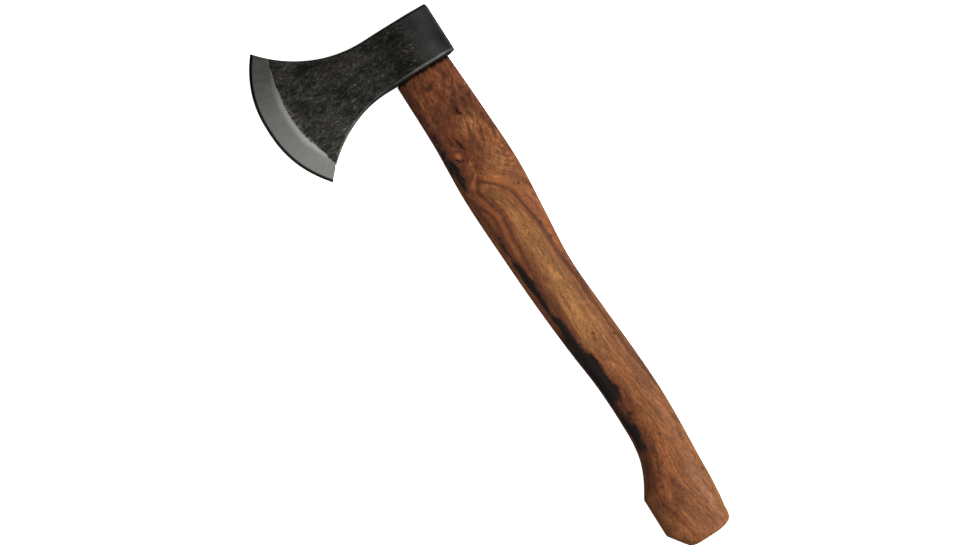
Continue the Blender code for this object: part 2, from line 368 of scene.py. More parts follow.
def head_ring(bottom_y, top_y, bow, down):
    """One ring of the blank: up the near side, over the top, down the far side and back under."""
    bottom, top = float(underside_of_head(bottom_y)), float(top_of_head(top_y))
    height = top - bottom
    y_row = min((bottom_y + top_y) / 2, BEVEL_ENDS_Y)
    toward_bevel = float(smooth(BOW_START_Y, BEVEL_ENDS_Y, y_row))
    half = float(through(HEAD_HALF, y_row)) - BLANK_THINNING * down
    rounding = lerp(ROUNDING_AT_POLL, ROUNDING_AT_BEVEL, toward_bevel)
    rounding = min(rounding * (1 - ROUNDING_LOST_AT_EDGE * down), half * ROUNDING_LIMIT)
    turn = rounding * (1 - np.cos(np.linspace(0, pi / 2, ROUNDING_POINTS)))
    inner = np.linspace(rounding, height - rounding, SIDE_POINTS)[1:-1]
    up = np.concatenate([turn, inner, height - turn[::-1]])
    f = up / height
    into_corner = np.maximum(rounding - np.minimum(up, height - up), 0)
    fall = rounding - np.sqrt(np.maximum(rounding**2 - into_corner**2, 0))
    thick = half * (1 - CORNER_THINNING * toward_bevel * (2 * f - 1) ** 2)
    side = np.stack([bottom + up, lerp(bottom_y, top_y, f) + bow * bulge(f), thick - fall], -1)
    mirrored = np.array([1, 1, -1])
    across = np.linspace(1, -1, END_POINTS)[1:-1]
    ends = np.stack([np.ones_like(across), np.ones_like(across), across], -1)
    over_top, under = side[-1] * ends, side[0] * ends * mirrored
    return np.concatenate([side, over_top, side[::-1] * mirrored, under])


def forge(points):
    """Dents and scale over the blank, then the ground bevel cut into it."""
    x, y, z = points.T
    flattened = points * np.array([1, 1, 0.4])
    cheek = smooth(18.0, 34.0, y)
    depth = np.zeros(len(points))
    for size, octaves, seed, at_poll, on_cheek in FORGED_SKIN:
        bumps = 0.5 + 0.5 * fractal(flattened, size, octaves, seed)
        depth = depth + lerp(at_poll, on_cheek, cheek) * bumps
    away, _ = nearest_edge(points[:, :2])
    half = np.abs(z)
    blank_half = half - np.clip(depth, 0, 0.5) * smooth(0.3, 1.5, half)
    side = np.where(z >= 0, 1.0, -1.0)
    return np.stack([x, y, side * np.minimum(blank_half, bevel_half(away))], -1)


def ground_depth(points, away):
    """How deep the grinding went in mm; below 0 it is how far the bevel's plane misses the blank."""
    missed_by = bevel_half(away) - np.abs(points[:, 2])
    depth = np.maximum(BLANK_AT_BEVEL - bevel_half(away), 0.0)
    return np.clip(np.where(missed_by > 0.004, -missed_by, depth), -1.0, 3.0)


def outline_wear(points):
    """How close each point lies to the head's outer corners, 0 to 1."""
    x, y, z = points.T
    to_outline = np.minimum(x - underside_of_head(y), top_of_head(y) - x)
    outline = 1 - smooth(0.6, 3.0, to_outline)
    poll = 1 - smooth(0.8, 2.6, y)
    return np.maximum(outline, poll) * smooth(1.0, 3.0, np.abs(z))


def make_head():
    head = grid_object("forged_head", [head_ring(*row) for row in head_rows()])
    write_points(head.data, forge(from_world(head.data)))
    shape = superellipse(EYE_FACETS, EYE_ROUNDNESS)
    cut(head, [grid_object("eye_cutter", [eye_ring(x, -wider, shape) for x, wider in EYE_CUTTER])])
    points = from_world(head.data)
    away, along = nearest_edge(points[:, :2])
    write_attribute(head.data, "ground", ground_depth(points, away))
    write_attribute(head.data, "along_edge", np.stack([along, away, points[:, 2]], -1))
    write_attribute(head.data, "wear", outline_wear(points))
    write_attribute(head.data, "place", points)
    return head


# ---------------------------------------------------------------- haft

def front_of_haft(x):
    """The y of the haft's front: a curve down to the toe of the butt swell, then flats."""
    x = np.asarray(x, float)
    flat = np.interp(x, [BUTT_X, TOE_FLAT_END[0], TOE_FLAT_START[0]],
                     [BUTT_CORNER[1], TOE_FLAT_END[1], TOE_FLAT_START[1]])
    return np.where(x >= TOE_FLAT_START[0], through(HAFT_FRONT, x, True), flat)


def haft_ring(x, shape, inset=0.0):
    """The haft's outline at one x, drawn in by the inset."""
    back, front = float(through(HAFT_BACK, x, True)), float(front_of_haft(x))
    half = float(through(HAFT_HALF, x)) - inset
    return oval(x, (back + front) / 2, (front - back) / 2 - inset, half, shape)


def under_head(ring, below):
    """The ring moved to follow the underside of the head, a little below it."""
    ring = ring.copy()
    ring[:, 0] = underside_of_head(ring[:, 1]) - below
    return ring


def haft_rings():
    body = superellipse(HAFT_FACETS, HAFT_ROUNDNESS)
    eye = superellipse(HAFT_FACETS, EYE_ROUNDNESS)
    swell = BUTT_X + np.array(BUTT_STATIONS)
    grip = np.arange(TOE_FLAT_END[0] - 0.4, GRIP_TOP_X, HAFT_STEP)
    tongue = np.linspace(TONGUE_BOTTOM_X, TONGUE_TOP - 0.6, TONGUE_ROWS)
    rings = [haft_ring(BUTT_X + step, body, inset) for inset, step in BUTT_STEPS]
    rings += [haft_ring(x, body) for x in np.concatenate([swell, grip])]
    for inset, step in SHOULDER_STEPS:
        rings.append(under_head(haft_ring(0.0, body, inset), SHOULDER_BELOW_HEAD + step))
    rings.append(under_head(eye_ring(0.0, GAP, eye), SHOULDER_BELOW_HEAD - 0.05))
    rings += [eye_ring(x, GAP, eye) for x in tongue]
    rings += [eye_ring(TONGUE_TOP - step, GAP + inset, eye) for inset, step in TONGUE_STEPS]
    return rings


def wedge_block(name, depth, sizes_y, sizes_z, extra=0.0, above=0.0):
    """A wedge from the tongue's top down; as a cutter it is larger all round and stands above."""
    rings = []
    for f, x in ((-above / depth, TONGUE_TOP + above), (1.0, TONGUE_TOP - depth - extra)):
        y = lerp(sizes_y[0], sizes_y[1], f) / 2 + extra
        z = lerp(sizes_z[0], sizes_z[1], f) / 2 + extra
        rings.append([(x, EYE_Y - y, -z), (x, EYE_Y + y, -z), (x, EYE_Y + y, z), (x, EYE_Y - y, z)])
    return grid_object(name, rings)


# ---------------------------------------------------------------- figure of the wood

# The flame is the pale area that runs up the grip inside a dark outline.
NEAR_SURFACE_Z = 12.0
FLAME_MIDDLE = [
    (-400.0, 26.0), (-230.0, 25.5), (-190.0, 25.8), (-153.0, 26.4), (-133.0, 25.2), (-112.0, 25.5),
    (-100.0, 28.4), (-90.0, 32.5), (-84.0, 34.0), (40.0, 34.0),
]
FLAME_HALF = [
    (-400.0, 26.0), (-300.0, 19.0), (-230.0, 12.5), (-191.0, 10.0), (-173.0, 9.5), (-153.0, 8.7),
    (-133.0, 8.6), (-120.0, 7.1), (-109.0, 5.8), (-100.0, 6.0), (-92.0, 5.0), (-84.0, 0.0),
    (-74.0, -6.0), (-60.0, -10.0), (40.0, -14.0),
]
ARCH_X = -326.0
ARCH_HEIGHT = 11.0
ARCH_REACH = 30.0
KNOT = (-62.0, 37.5)
KNOT_REACH = (9.0, 6.0)
KNOT_SIZE = (3.4, 2.0)
MARBLE_LEAN = -32.0

# The black mineral streak along the front ridge, its strength, and how dark the front face is.
STREAK_LINE = [
    (-345.0, 60.0), (-313.0, 42.0), (-303.0, 37.5), (-293.0, 33.5), (-280.0, 30.8), (-267.0, 30.0),
    (-250.0, 29.0), (-240.0, 30.0), (-220.0, 33.5), (-206.0, 37.0), (-167.0, 39.3), (-133.0, 42.3),
    (-100.0, 45.0), (-80.0, 50.0),
]
STREAK_STRENGTH = [
    (-320.0, 0.0), (-303.0, 0.30), (-288.0, 0.70), (-276.0, 0.74), (-260.0, 0.50), (-246.0, 0.95),
    (-165.0, 1.0), (-135.0, 0.80), (-100.0, 0.45), (-70.0, 0.35), (0.0, 0.30),
]
FRONT_DARKNESS = [
    (BUTT_X, 0.30), (-330.0, 0.55), (-300.0, 0.80), (-270.0, 0.95), (-240.0, 1.1), (-210.0, 1.1),
    (-192.0, 0.60), (-170.0, 0.15), (-150.0, 0.0), (0.0, 0.0),
]

# Spots of the near side, each with its centre, its reach along and across, and its strength.
RED_SPOT = ((-147.0, 13.0), (45.0, 5.0), 0.35)
GOLDEN_SPOTS = [((-48.0, 20.0), (8.0, 6.0), 0.70), ((-78.0, 17.0), (10.0, 7.0), 0.60)]
DARK_SPOTS = [
    ((-57.0, 29.0), (20.0, 13.0), 0.26), ((-32.0, 24.0), (13.0, 16.0), 0.25),
    ((-57.0, 33.5), (5.5, 2.6), 0.46), ((-65.0, 22.0), (11.0, 2.2), 0.30),
    ((-36.0, 21.0), (6.0, 3.4), 0.20), ((-30.0, 12.5), (5.0, 2.6), 0.30),
    ((-75.0, 33.0), (3.5, 7.0), 0.28), ((-72.0, 43.5), (15.0, 4.2), 0.22),
    ((-322.0, 33.5), (10.0, 5.0), 0.56), ((-55.0, 44.0), (65.0, 3.8), 0.46),
]


def hill(x, y, centre, reach, height=1.0):
    """A smooth round rise of the given height."""
    return height * np.exp(-(((x - centre[0]) / reach[0]) ** 2) - ((y - centre[1]) / reach[1]) ** 2)


def across_haft(x, y):
    """0 at the haft's back and 1 at its front."""
    back, front = through(HAFT_BACK, x, True), front_of_haft(x)
    return (y - back) / (front - back)


def grain_of(points):
    """Grain coordinates in mm: along the fibres, across the rings, and round the rings."""
    x, y, z = points.T
    stretched = points * np.array([0.22, 1.0, 1.0])
    wander = fractal(stretched, 14.0, 2, 5.2)
    wiggle = fractal(stretched, 5.0, 2, 9.9)
    from_surface = z - NEAR_SURFACE_Z
    arch = ARCH_HEIGHT * np.exp(-(((x - ARCH_X) / ARCH_REACH) ** 2)) * smooth(12.0, 45.0, y)
    off = y - arch - through(FLAME_MIDDLE, x) - 0.35 * from_surface
    half = through(FLAME_HALF, x + 1.5 * from_surface * (x < -60))
    rings = np.sqrt(off * off + 6.0) - 2.4 - half + 0.45 * from_surface
    rings = rings + 1.1 * wander + 0.5 * wiggle
    rings = rings + 5.0 * hill(x, y, KNOT, KNOT_REACH) * smooth(0, 9, z)
    return np.stack([x + 2.0 * wander, rings, 0.7 * z + 0.3 * off], -1)


def redness(points):
    """Where the wood is red: near the head, and along the front and part of the back."""
    x, y, _ = points.T
    across = across_haft(x, y)
    red = 0.28 + 0.76 * smooth(-92.0, -48.0, x)
    red = red + 0.55 * smooth(0.50, 0.85, across) * smooth(-355.0, -330.0, x)
    red = red - 0.40 * smooth(0.90, 0.97, across) * smooth(-100.0, -120.0, x)
    return np.clip(red + hill(x, y, *RED_SPOT), 0, 1.2)


def goldenness(points, rings):
    """Where the wood is golden: in the flame, in two spots, and by the back towards the butt."""
    x, y, z = points.T
    gold = (1 - smooth(-7.0, -1.5, rings)) * smooth(-250.0, -190.0, x) * smooth(-86.0, -100.0, x)
    for spot in GOLDEN_SPOTS:
        gold = np.maximum(gold, hill(x, y, *spot))
    by_back = (1 - smooth(0.02, 0.22, across_haft(x, y))) * smooth(-190.0, -240.0, x)
    gold = np.maximum(gold, 0.65 * by_back)
    return np.clip(gold * smooth(0.0, 8.0, z), 0, 1)


def darkness(points):
    """From about 0.4 upward the wood is darkened; at 0.8 it is black."""
    x, y, z = points.T
    drift = fractal(points * np.array([0.35, 1.0, 1.0]), 7.0, 3, 6.6)
    into = (y - through(STREAK_LINE, x) + 2.2 * drift) / 5.5
    round_front = smooth(4.6, 8.8, z + 4.0 * smooth(-215.0, -240.0, x) + 1.2 * drift)
    streak = np.clip(0.45 + into, 0.0, 1.0) * round_front * through(STREAK_STRENGTH, x)
    by_front = smooth(0.84, 0.97, across_haft(x, y)) * smooth(-10.0, -3.0, z)
    streak = np.maximum(streak, 0.62 * by_front * through(FRONT_DARKNESS, x))
    # Painted shadow: the haft is darkened just under the head and on the tongue inside the eye.
    spots = 0.80 * smooth(-7.0, 0.0, x) * (1 - smooth(3.0, 12.0, x))
    spots = spots + sum(hill(x, y, *spot) for spot in DARK_SPOTS)
    return np.maximum(streak, np.clip(spots, 0, 1) * smooth(-9.0, -1.0, z))


def knot_distance(points):
    """How far from the small knot on the near side, as a share of the knot's own size."""
    x, y, z = points.T
    off_x = x - KNOT[0]
    off_y = y - KNOT[1] - 0.35 * off_x
    away = np.hypot(off_x / KNOT_SIZE[0], off_y / KNOT_SIZE[1])
    away = away + 0.5 * fractal(points, 3.5, 3, 4.4)
    return np.where(z > 0, np.minimum(away, 9.0), 9.0)


# ---------------------------------------------------------------- haft and wedges, cut to fit

def slot_cutter():
    """The steel wedge's slot through the tongue and the wood wedge."""
    return wedge_block("slot_cutter", STEEL_DEPTH, STEEL_THICK, STEEL_WIDE, GAP, CUTTER_ABOVE)


def make_haft():
    haft = grid_object("shaped_haft", haft_rings())
    right_through = (2 * TOP_AT_NECK, 2 * TOP_AT_NECK)
    kerf = wedge_block("kerf_cutter", WOOD_DEPTH, right_through, WOOD_THICK, GAP, CUTTER_ABOVE)
    cut(haft, [kerf, slot_cutter()])
    points = from_world(haft.data)
    grain = grain_of(points)
    # Its third channel, the darkness, also holds the painted shadow under the head.
    tint_and_shadow = np.stack([redness(points), goldenness(points, grain[:, 1]), darkness(points)], -1)
    write_attribute(haft.data, "place", points)
    write_attribute(haft.data, "grain", grain)
    write_attribute(haft.data, "tint_and_shadow", tint_and_shadow)
    write_attribute(haft.data, "knot", knot_distance(points))
    return haft


def make_wood_wedge():
    wedge = wedge_block("hardwood_wedge", WOOD_DEPTH, WOOD_LONG, WOOD_THICK)
    cut(wedge, [slot_cutter()])
    write_attribute(wedge.data, "place", from_world(wedge.data))
    return wedge


def make_steel_wedge():
    wedge = wedge_block("cross_wedge", STEEL_DEPTH, STEEL_THICK, STEEL_WIDE)
    write_attribute(wedge.data, "place", from_world(wedge.data))
    return wedge


# ---------------------------------------------------------------- materials

class Graph:
    """Short ways to add and join shader nodes. An input is a socket or a plain value."""

    def __init__(self, name):
        self.material = bpy.data.materials.new(name)
        self.material.use_nodes = True
        self.tree = self.material.node_tree
        self.shader = self.tree.nodes["Principled BSDF"]

    def put(self, value, socket):
        if isinstance(value, bpy.types.NodeSocket):
            self.tree.links.new(value, socket)
        elif isinstance(value, tuple) and len(value) == 3 and socket.type == "RGBA":
            socket.default_value = (*value, 1.0)
        else:
            socket.default_value = value

    def add(self, kind, inputs, **settings):
        made = self.tree.nodes.new("ShaderNode" + kind)
        for key, value in settings.items():
            setattr(made, key, value)
        for key, value in inputs.items():
            self.put(value, made.inputs[key])
        return made

    def attribute(self, name, output="Vector"):
        return self.add("Attribute", {}, attribute_name=name).outputs[output]

    def math(self, operation, a, b=0.0):
        return self.add("Math", {0: a, 1: b}, operation=operation).outputs[0]

    def plus(self, a, b):
        return self.math("ADD", a, b)

    def minus(self, a, b):
        return self.math("SUBTRACT", a, b)

    def times(self, *values):
        return reduce(lambda a, b: self.math("MULTIPLY", a, b), values)

    def most(self, values):
        return reduce(lambda a, b: self.math("MAXIMUM", a, b), values)

    def outside(self, mask):
        """1 where the mask is 0, and 0 where it is 1."""
        return self.minus(1.0, mask)

    def length(self, a, b):
        return self.math("SQRT", self.plus(self.times(a, a), self.times(b, b)))

    def smooth(self, value, low, high):
        made = self.add("MapRange", {"Value": value, "From Min": low, "From Max": high},
                        interpolation_type="SMOOTHSTEP")
        return made.outputs["Result"]

    def linear(self, value, low, high, start, end):
        made = self.add("MapRange", {"Value": value, "From Min": low, "From Max": high,
                                     "To Min": start, "To Max": end})
        return made.outputs["Result"]

    def noise(self, vector, rate, detail=2.0, roughness=0.5, distortion=0.0):
        """Noise that varies at a rate of its own along each axis of the vector."""
        scaled = self.add("VectorMath", {0: vector, 1: rate}, operation="MULTIPLY")
        made = self.add("TexNoise", {"Vector": scaled.outputs["Vector"], "Scale": 1.0, "Detail": detail,
                                     "Roughness": roughness, "Distortion": distortion})
        return made.outputs["Fac"]

    def mix(self, a, b, amount, blend="MIX"):
        made = self.tree.nodes.new("ShaderNodeMix")
        made.data_type = "RGBA"
        made.blend_type = blend
        made.clamp_factor = True
        self.put(amount, made.inputs["Factor"])
        colours = [socket for socket in made.inputs if socket.type == "RGBA"]
        self.put(a, colours[0])
        self.put(b, colours[1])
        return [socket for socket in made.outputs if socket.type == "RGBA"][0]

    def shaded(self, colour, light, amount=1.0):
        """The colour made lighter or darker by a number."""
        return self.mix(colour, self.join(light, light, light), amount, "MULTIPLY")

    def split(self, vector):
        return self.add("SeparateXYZ", {"Vector": vector}).outputs

    def join(self, x, y, z):
        return self.add("CombineXYZ", {"X": x, "Y": y, "Z": z}).outputs["Vector"]

    def bump(self, height, distance):
        inputs = {"Height": height, "Distance": distance, "Strength": 1.0}
        return self.add("Bump", inputs).outputs["Normal"]

    def finish(self, **inputs):
        for key, value in inputs.items():
            self.put(value, self.shader.inputs[key.replace("_", " ")])
        return self.material


# ---------------------------------------------------------------- the head's steel

SCALE_BLACK = (0.0115, 0.0125, 0.0112)
SCALE_GREY = (0.032, 0.032, 0.028)
SCALE_BROWN = (0.044, 0.037, 0.029)
SCRATCHED = (0.165, 0.150, 0.125)
SWEPT = (0.085, 0.080, 0.070)
POLL_BLACK = (0.017, 0.0183, 0.018)
POLL_GREY = (0.030, 0.0315, 0.0305)
SMUDGED = (0.008, 0.009, 0.010)
WORN_CORNER = (0.110, 0.106, 0.096)
GROUND_DARK = (0.216, 0.219, 0.200)
GROUND_PALE = (0.277, 0.278, 0.253)
GROUND_CLOUD = (0.334, 0.330, 0.300)
GROUND_LINE = (0.20, 0.20, 0.19)
# The colour painted along the cutting edge as its dark reflection.
PAINTED_DARK_EDGE = (0.014, 0.014, 0.014)
BRIGHT_FRINGE = (0.62, 0.61, 0.57)
STEEL_RELIEF = 0.00016

# Scratches on the cheeks: angle in degrees, width and length in mm, and how rare they are.
SCRATCHES = [
    (84, 0.6, 7.0, 0.57), (62, 0.9, 5.0, 0.61), (108, 0.55, 6.0, 0.61), (-20, 0.8, 3.5, 0.61),
]
SMUDGE = (43.0, 93.5)
SMUDGE_STRETCH = 0.5916


def scratches(g, place, angle, width, length, rarity):
    """Short straight strokes across the steel in one direction, 0 to 1."""
    c, s = cos(radians(angle)), sin(radians(angle))
    x, y, z = g.split(place)
    along = g.plus(g.times(x, c / length), g.times(y, s / length))
    across = g.plus(g.times(x, -s / width), g.times(y, c / width))
    field = g.noise(g.join(along, across, z), (1.0, 1.0, 0.1), 2.0, 0.55)
    return g.smooth(field, rarity, rarity + 0.16)


def rubbed(g, place, grain):
    """Scratches and flecks where the forge scale is rubbed through, 0 to 1."""
    strokes = g.most([scratches(g, place, *kind) for kind in SCRATCHES])
    strokes = g.times(strokes, g.linear(grain, 0.40, 0.60, 0.15, 1.0), 0.8)
    flecks = g.smooth(g.noise(place, (0.72, 0.34, 0.4), 6.0, 0.78, 0.6), 0.49, 0.66)
    flecks = g.times(flecks, g.linear(grain, 0.38, 0.62, 0.35, 1.0))
    return g.most([strokes, flecks])


def swept(g, edge_place, away):
    """Streaks that the grinding left on the cheek beside the bevel, 0 to 1."""
    streaks = g.smooth(g.noise(edge_place, (0.95, 0.10, 0.1), 4.0, 0.7), 0.50, 0.74)
    return g.times(streaks, g.outside(g.smooth(away, 24.0, 48.0)))


def smudge(g, place, patch):
    """A dark patch by the toe on the near side, 0 to 1."""
    x, y, z = g.split(place)
    gap = g.length(g.minus(x, SMUDGE[0]), g.times(g.minus(y, SMUDGE[1]), SMUDGE_STRETCH))
    gap = g.plus(gap, g.times(g.minus(patch, 0.5), 8.0))
    return g.times(g.outside(g.smooth(gap, 1.5, 7.5)), g.smooth(z, 0.0, 2.0))


def cheek_scale_with_shade(g, y, patch, blotch, shade, worn, streaks):
    """Forge scale in greys and browns, with brighter steel where it is worn, and painted shade: darker
    in a band beside the eye.
    """
    colour = g.mix(SCALE_BLACK, SCALE_GREY, g.smooth(patch, 0.36, 0.64))
    colour = g.mix(colour, SCALE_BROWN, g.times(g.smooth(blotch, 0.48, 0.72), 0.5))
    colour = g.mix(colour, SCRATCHED, g.times(worn, 0.9))
    colour = g.mix(colour, SWEPT, g.times(streaks, 0.6))
    # Painted shade: the colour is darkened most at y = 35 and less away from it, as the shaded part of
    # the cheek beside the eye.
    from_eye = g.smooth(g.math("ABSOLUTE", g.minus(y, 35.0)), 3.0, 16.0)
    return g.shaded(g.shaded(colour, shade, 0.9), g.linear(from_eye, 0.0, 1.0, 0.36, 0.80))


def poll_band_with_shade(g, y, blotch, shade):
    """The smoother band of the poll, with painted shade darkening it towards its back."""
    colour = g.mix(POLL_BLACK, POLL_GREY, g.smooth(blotch, 0.3, 0.7))
    # Painted shade: the band darkens over the last 10 mm towards the back of the poll.
    from_back = g.smooth(y, 3.0, 10.0)
    return g.shaded(g.shaded(colour, shade, 0.30), g.linear(from_back, 0.0, 1.0, 0.66, 1.0))


def ground_steel(g, place, edge_place, away, lines):
    """The bevel, ground in fine lines towards the edge, with a painted dark reflection along the edge
    itself.
    """
    fine = g.noise(edge_place, (5.5, 0.16, 0.1), 2.0, 0.6)
    cloud = g.noise(place, (0.09, 0.09, 0.1), 3.0, 0.55)
    colour = g.mix(GROUND_DARK, GROUND_PALE, g.smooth(lines, 0.2, 0.8))
    colour = g.mix(colour, GROUND_CLOUD, g.times(g.smooth(cloud, 0.48, 0.75), 0.4))
    colour = g.mix(colour, GROUND_LINE, g.times(g.smooth(fine, 0.60, 0.78), 0.5))
    # Painted reflection: the last 1.5 to 2.5 mm by the edge are painted nearly black, for the dark
    # surroundings the micro-bevel reflects.
    return g.mix(colour, PAINTED_DARK_EDGE, g.outside(g.smooth(away, 1.5, 2.5)))


def forged_steel():
    g = Graph("forged_steel")
    place = g.attribute("place")
    edge_place = g.attribute("along_edge")
    _, y, _ = g.split(place)
    _, away, _ = g.split(edge_place)
    blotch = g.noise(place, (0.05, 0.05, 0.03), 3.0, 0.55)
    patch = g.noise(place, (0.22, 0.11, 0.1), 5.0, 0.64, 0.4)
    grain = g.noise(place, (0.85, 0.85, 0.5), 5.0, 0.75)
    lines = g.noise(edge_place, (1.5, 0.05, 0.1), 4.0, 0.65)
    shade = g.linear(grain, 0.32, 0.68, 0.34, 1.74)

    cheek = g.smooth(y, 15.0, 27.0)
    worn = g.times(rubbed(g, place, grain), g.linear(patch, 0.38, 0.64, 0.22, 1.15), cheek)
    scale = cheek_scale_with_shade(g, y, patch, blotch, shade, worn, swept(g, edge_place, away))
    scale = g.mix(poll_band_with_shade(g, y, blotch, shade), scale, cheek)
    scale = g.mix(scale, SMUDGED, g.times(smudge(g, place, patch), 0.75))
    corners = g.times(g.attribute("wear", "Fac"), g.smooth(patch, 0.25, 0.55))
    scale = g.mix(scale, WORN_CORNER, g.times(corners, 0.42))

    ragged = g.plus(g.times(g.minus(lines, 0.5), 0.55), g.times(g.minus(grain, 0.5), 0.25))
    depth = g.plus(g.attribute("ground", "Fac"), ragged)
    ground = g.smooth(depth, -0.03, 0.22)
    forged = g.outside(ground)
    fringe = g.times(ground, g.outside(g.smooth(depth, 0.22, 0.75)))
    steel = ground_steel(g, place, edge_place, away, lines)
    steel = g.mix(steel, BRIGHT_FRINGE, g.times(fringe, 0.55))

    rough_scale = g.minus(g.linear(patch, 0.3, 0.7, 0.58, 0.46), g.times(worn, 0.12))
    rough_steel = g.linear(lines, 0.3, 0.7, 0.17, 0.23)
    rough = g.plus(g.times(rough_steel, ground), g.times(rough_scale, forged))
    relief = g.plus(g.times(patch, 0.5), g.times(grain, 0.30))
    relief = g.times(g.minus(relief, g.times(worn, 0.35)), forged)
    relief = g.plus(relief, g.times(lines, 0.06, ground))
    return g.finish(Base_Color=g.mix(scale, steel, ground), Roughness=rough, Metallic=1.0,
                    Normal=g.bump(relief, STEEL_RELIEF))


# ---------------------------------------------------------------- the haft's wood

WOOD_DEEP = (0.150, 0.048, 0.0140)
WOOD_PALE = (0.240, 0.092, 0.031)
WOOD_RED = (0.070, 0.0185, 0.0068)
WOOD_GOLDEN = (0.226, 0.101, 0.0345)
WOOD_ORANGE = (0.225, 0.066, 0.020)
GRAIN_LINE = (0.080, 0.024, 0.0090)
FLAME_OUTLINE = (0.055, 0.019, 0.009)
PORE = (0.040, 0.013, 0.005)
DARKENED = (0.085, 0.024, 0.009)
# The black of the mineral streak, also painted in as the shadow under the head.
MINERAL_AND_PAINTED_SHADOW_BLACK = (0.0022, 0.0014, 0.0010)
KNOT_HEART = (0.265, 0.078, 0.021)
PIT = (0.030, 0.010, 0.004)
WOOD_RELIEF = 0.00007

PITS = [
    (-98.0, 12.5), (-128.0, 14.3), (-139.5, 13.3), (-209.5, 25.0), (-217.0, 12.8), (-289.5, 24.0),
    (-324.5, 11.2),
]


def pin_holes(g, place):
    """Small dark pits on the near side, 0 to 1."""
    x, y, z = g.split(place)
    gaps = [g.length(g.times(g.minus(x, pit_x), 0.55), g.minus(y, pit_y)) for pit_x, pit_y in PITS]
    spots = g.most([g.outside(g.smooth(gap, 0.35, 1.15)) for gap in gaps])
    return g.times(spots, g.smooth(z, 0.0, 6.0))


def marbling(g, place):
    """How much lighter or darker the swirls near the head are, which lean across the haft."""
    x, y, z = g.split(place)
    c, s = cos(radians(MARBLE_LEAN)), sin(radians(MARBLE_LEAN))
    along = g.plus(g.times(x, c), g.times(y, s))
    across = g.minus(g.times(y, c), g.times(x, s))
    swirl = g.noise(g.join(along, across, z), (0.085, 0.20, 0.16), 6.0, 0.62, 1.3)
    light = g.linear(swirl, 0.34, 0.66, 0.28, 1.95)
    return g.plus(1.0, g.times(g.minus(light, 1.0), g.smooth(x, -100.0, -70.0), 0.75))


def tinted_wood(g, x, grain, lines, mottle):
    """Wood in bands, redder or more golden in places, with an orange band beside the flame."""
    _, rings, _ = g.split(grain)
    red, gold, _ = g.split(g.attribute("tint_and_shadow"))
    bands = g.noise(grain, (0.010, 0.42, 0.10), 3.0, 0.6, 0.2)
    colour = g.mix(WOOD_DEEP, WOOD_PALE, g.smooth(bands, 0.30, 0.68))
    redder = g.math("MINIMUM", g.times(red, g.linear(mottle, 0.26, 0.62, 0.25, 1.3)), 1.0)
    colour = g.mix(colour, WOOD_RED, g.times(redder, 0.92))
    colour = g.mix(colour, WOOD_GOLDEN, g.times(gold, g.linear(mottle, 0.3, 0.7, 0.55, 1.0)))
    colour = g.mix(colour, GRAIN_LINE, g.times(g.smooth(lines, 0.50, 0.72), 0.65))
    beside = g.times(g.smooth(rings, 0.9, 2.2), g.outside(g.smooth(rings, 3.0, 6.5)), 0.5)
    beside = g.times(beside, g.linear(mottle, 0.3, 0.6, 0.4, 1.0), g.smooth(x, -260.0, -200.0))
    return g.mix(colour, WOOD_ORANGE, beside)


def blackness(g, place, knot, mottle, flecks):
    """How dark the wood is made by minerals, dark spots and the painted shadow under the head, with
    ragged borders, and in a ring round the knot.
    """
    red, _, dark = g.split(g.attribute("tint_and_shadow"))
    tangle = g.noise(place, (0.10, 0.17, 0.17), 7.0, 0.72, 0.5)
    ragged = g.times(g.minus(tangle, 0.5), g.linear(red, 0.55, 1.0, 0.75, 2.5))
    ragged = g.plus(ragged, g.times(g.minus(flecks, 0.5), 0.25))
    ring = g.smooth(g.math("ABSOLUTE", g.minus(knot, 1.35)), 0.75, 0.0)
    ring = g.times(ring, g.smooth(mottle, 0.35, 0.6), 0.45)
    return g.plus(g.plus(dark, ragged), ring)


